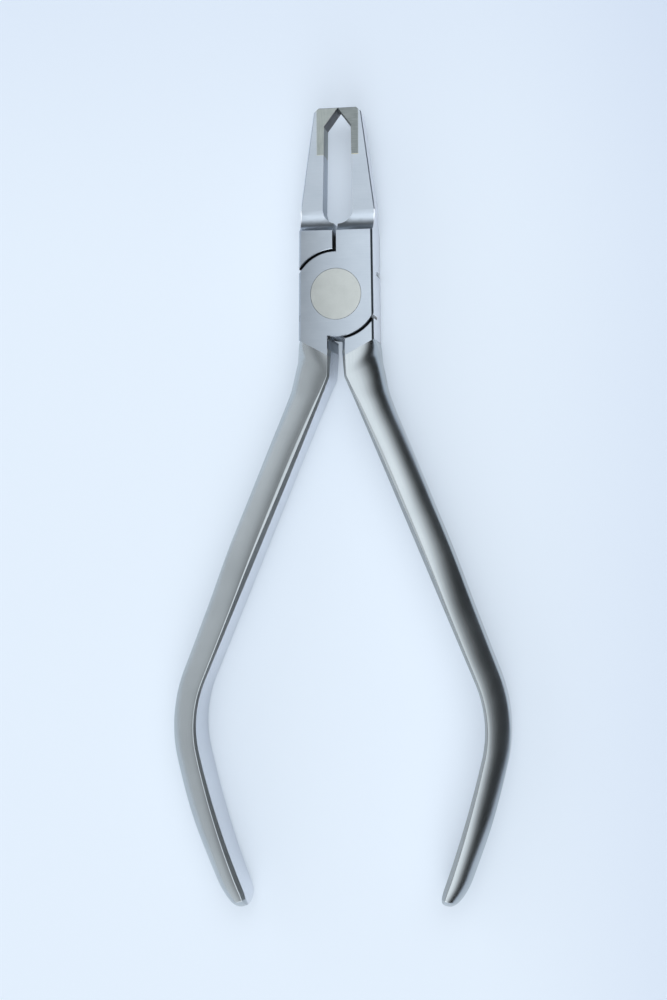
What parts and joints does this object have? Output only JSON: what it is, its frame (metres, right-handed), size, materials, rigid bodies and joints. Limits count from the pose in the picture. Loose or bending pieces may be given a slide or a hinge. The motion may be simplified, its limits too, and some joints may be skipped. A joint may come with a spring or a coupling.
{
  "type": "bracket removing pliers",
  "caption": "Straight orthodontic bracket removing pliers: two forged steel levers lapped at a flush pivot pin, slotted jaws with hard alloy tip inserts, splayed handles.",
  "frame": {"origin": "on the pivot axis, in the plane of the joint's flat back face, which the closed pliers lie on", "axes": "+Y along the closed pliers towards the tips, +Z along the pivot axis towards the pin's head, +X to the right seen from the front"},
  "size_m": [0.057, 0.1332, 0.0093],
  "materials": {
    "satin_steel_front": "satin, brushed along the handle",
    "satin_steel_rear": "satin, brushed along the handle",
    "pin_steel": "satin, ground flush with the joint face",
    "hard_alloy_right": "fine matt ground, slightly green-grey",
    "hard_alloy_left": "fine matt ground, slightly green-grey",
    "braze_right": "thin pale braze line, satin",
    "braze_left": "thin pale braze line, satin"
  },
  "bodies": {
    "front_lever": {"front_lever": "satin_steel_front", "right_tip_insert": "hard_alloy_right", "right_braze_seam": "braze_right"},
    "rear_lever": {"rear_lever": "satin_steel_rear", "left_tip_insert": "hard_alloy_left", "left_braze_seam": "braze_left", "pivot_pin": "pin_steel"}
  },
  "joints": [
    {"name": "main_pivot", "type": "hinge", "parent": "front_lever", "child": "rear_lever", "pos_m": [0, 0, 0], "axis": [0, 0, 1], "range_deg": [0, 40]}
  ]
}
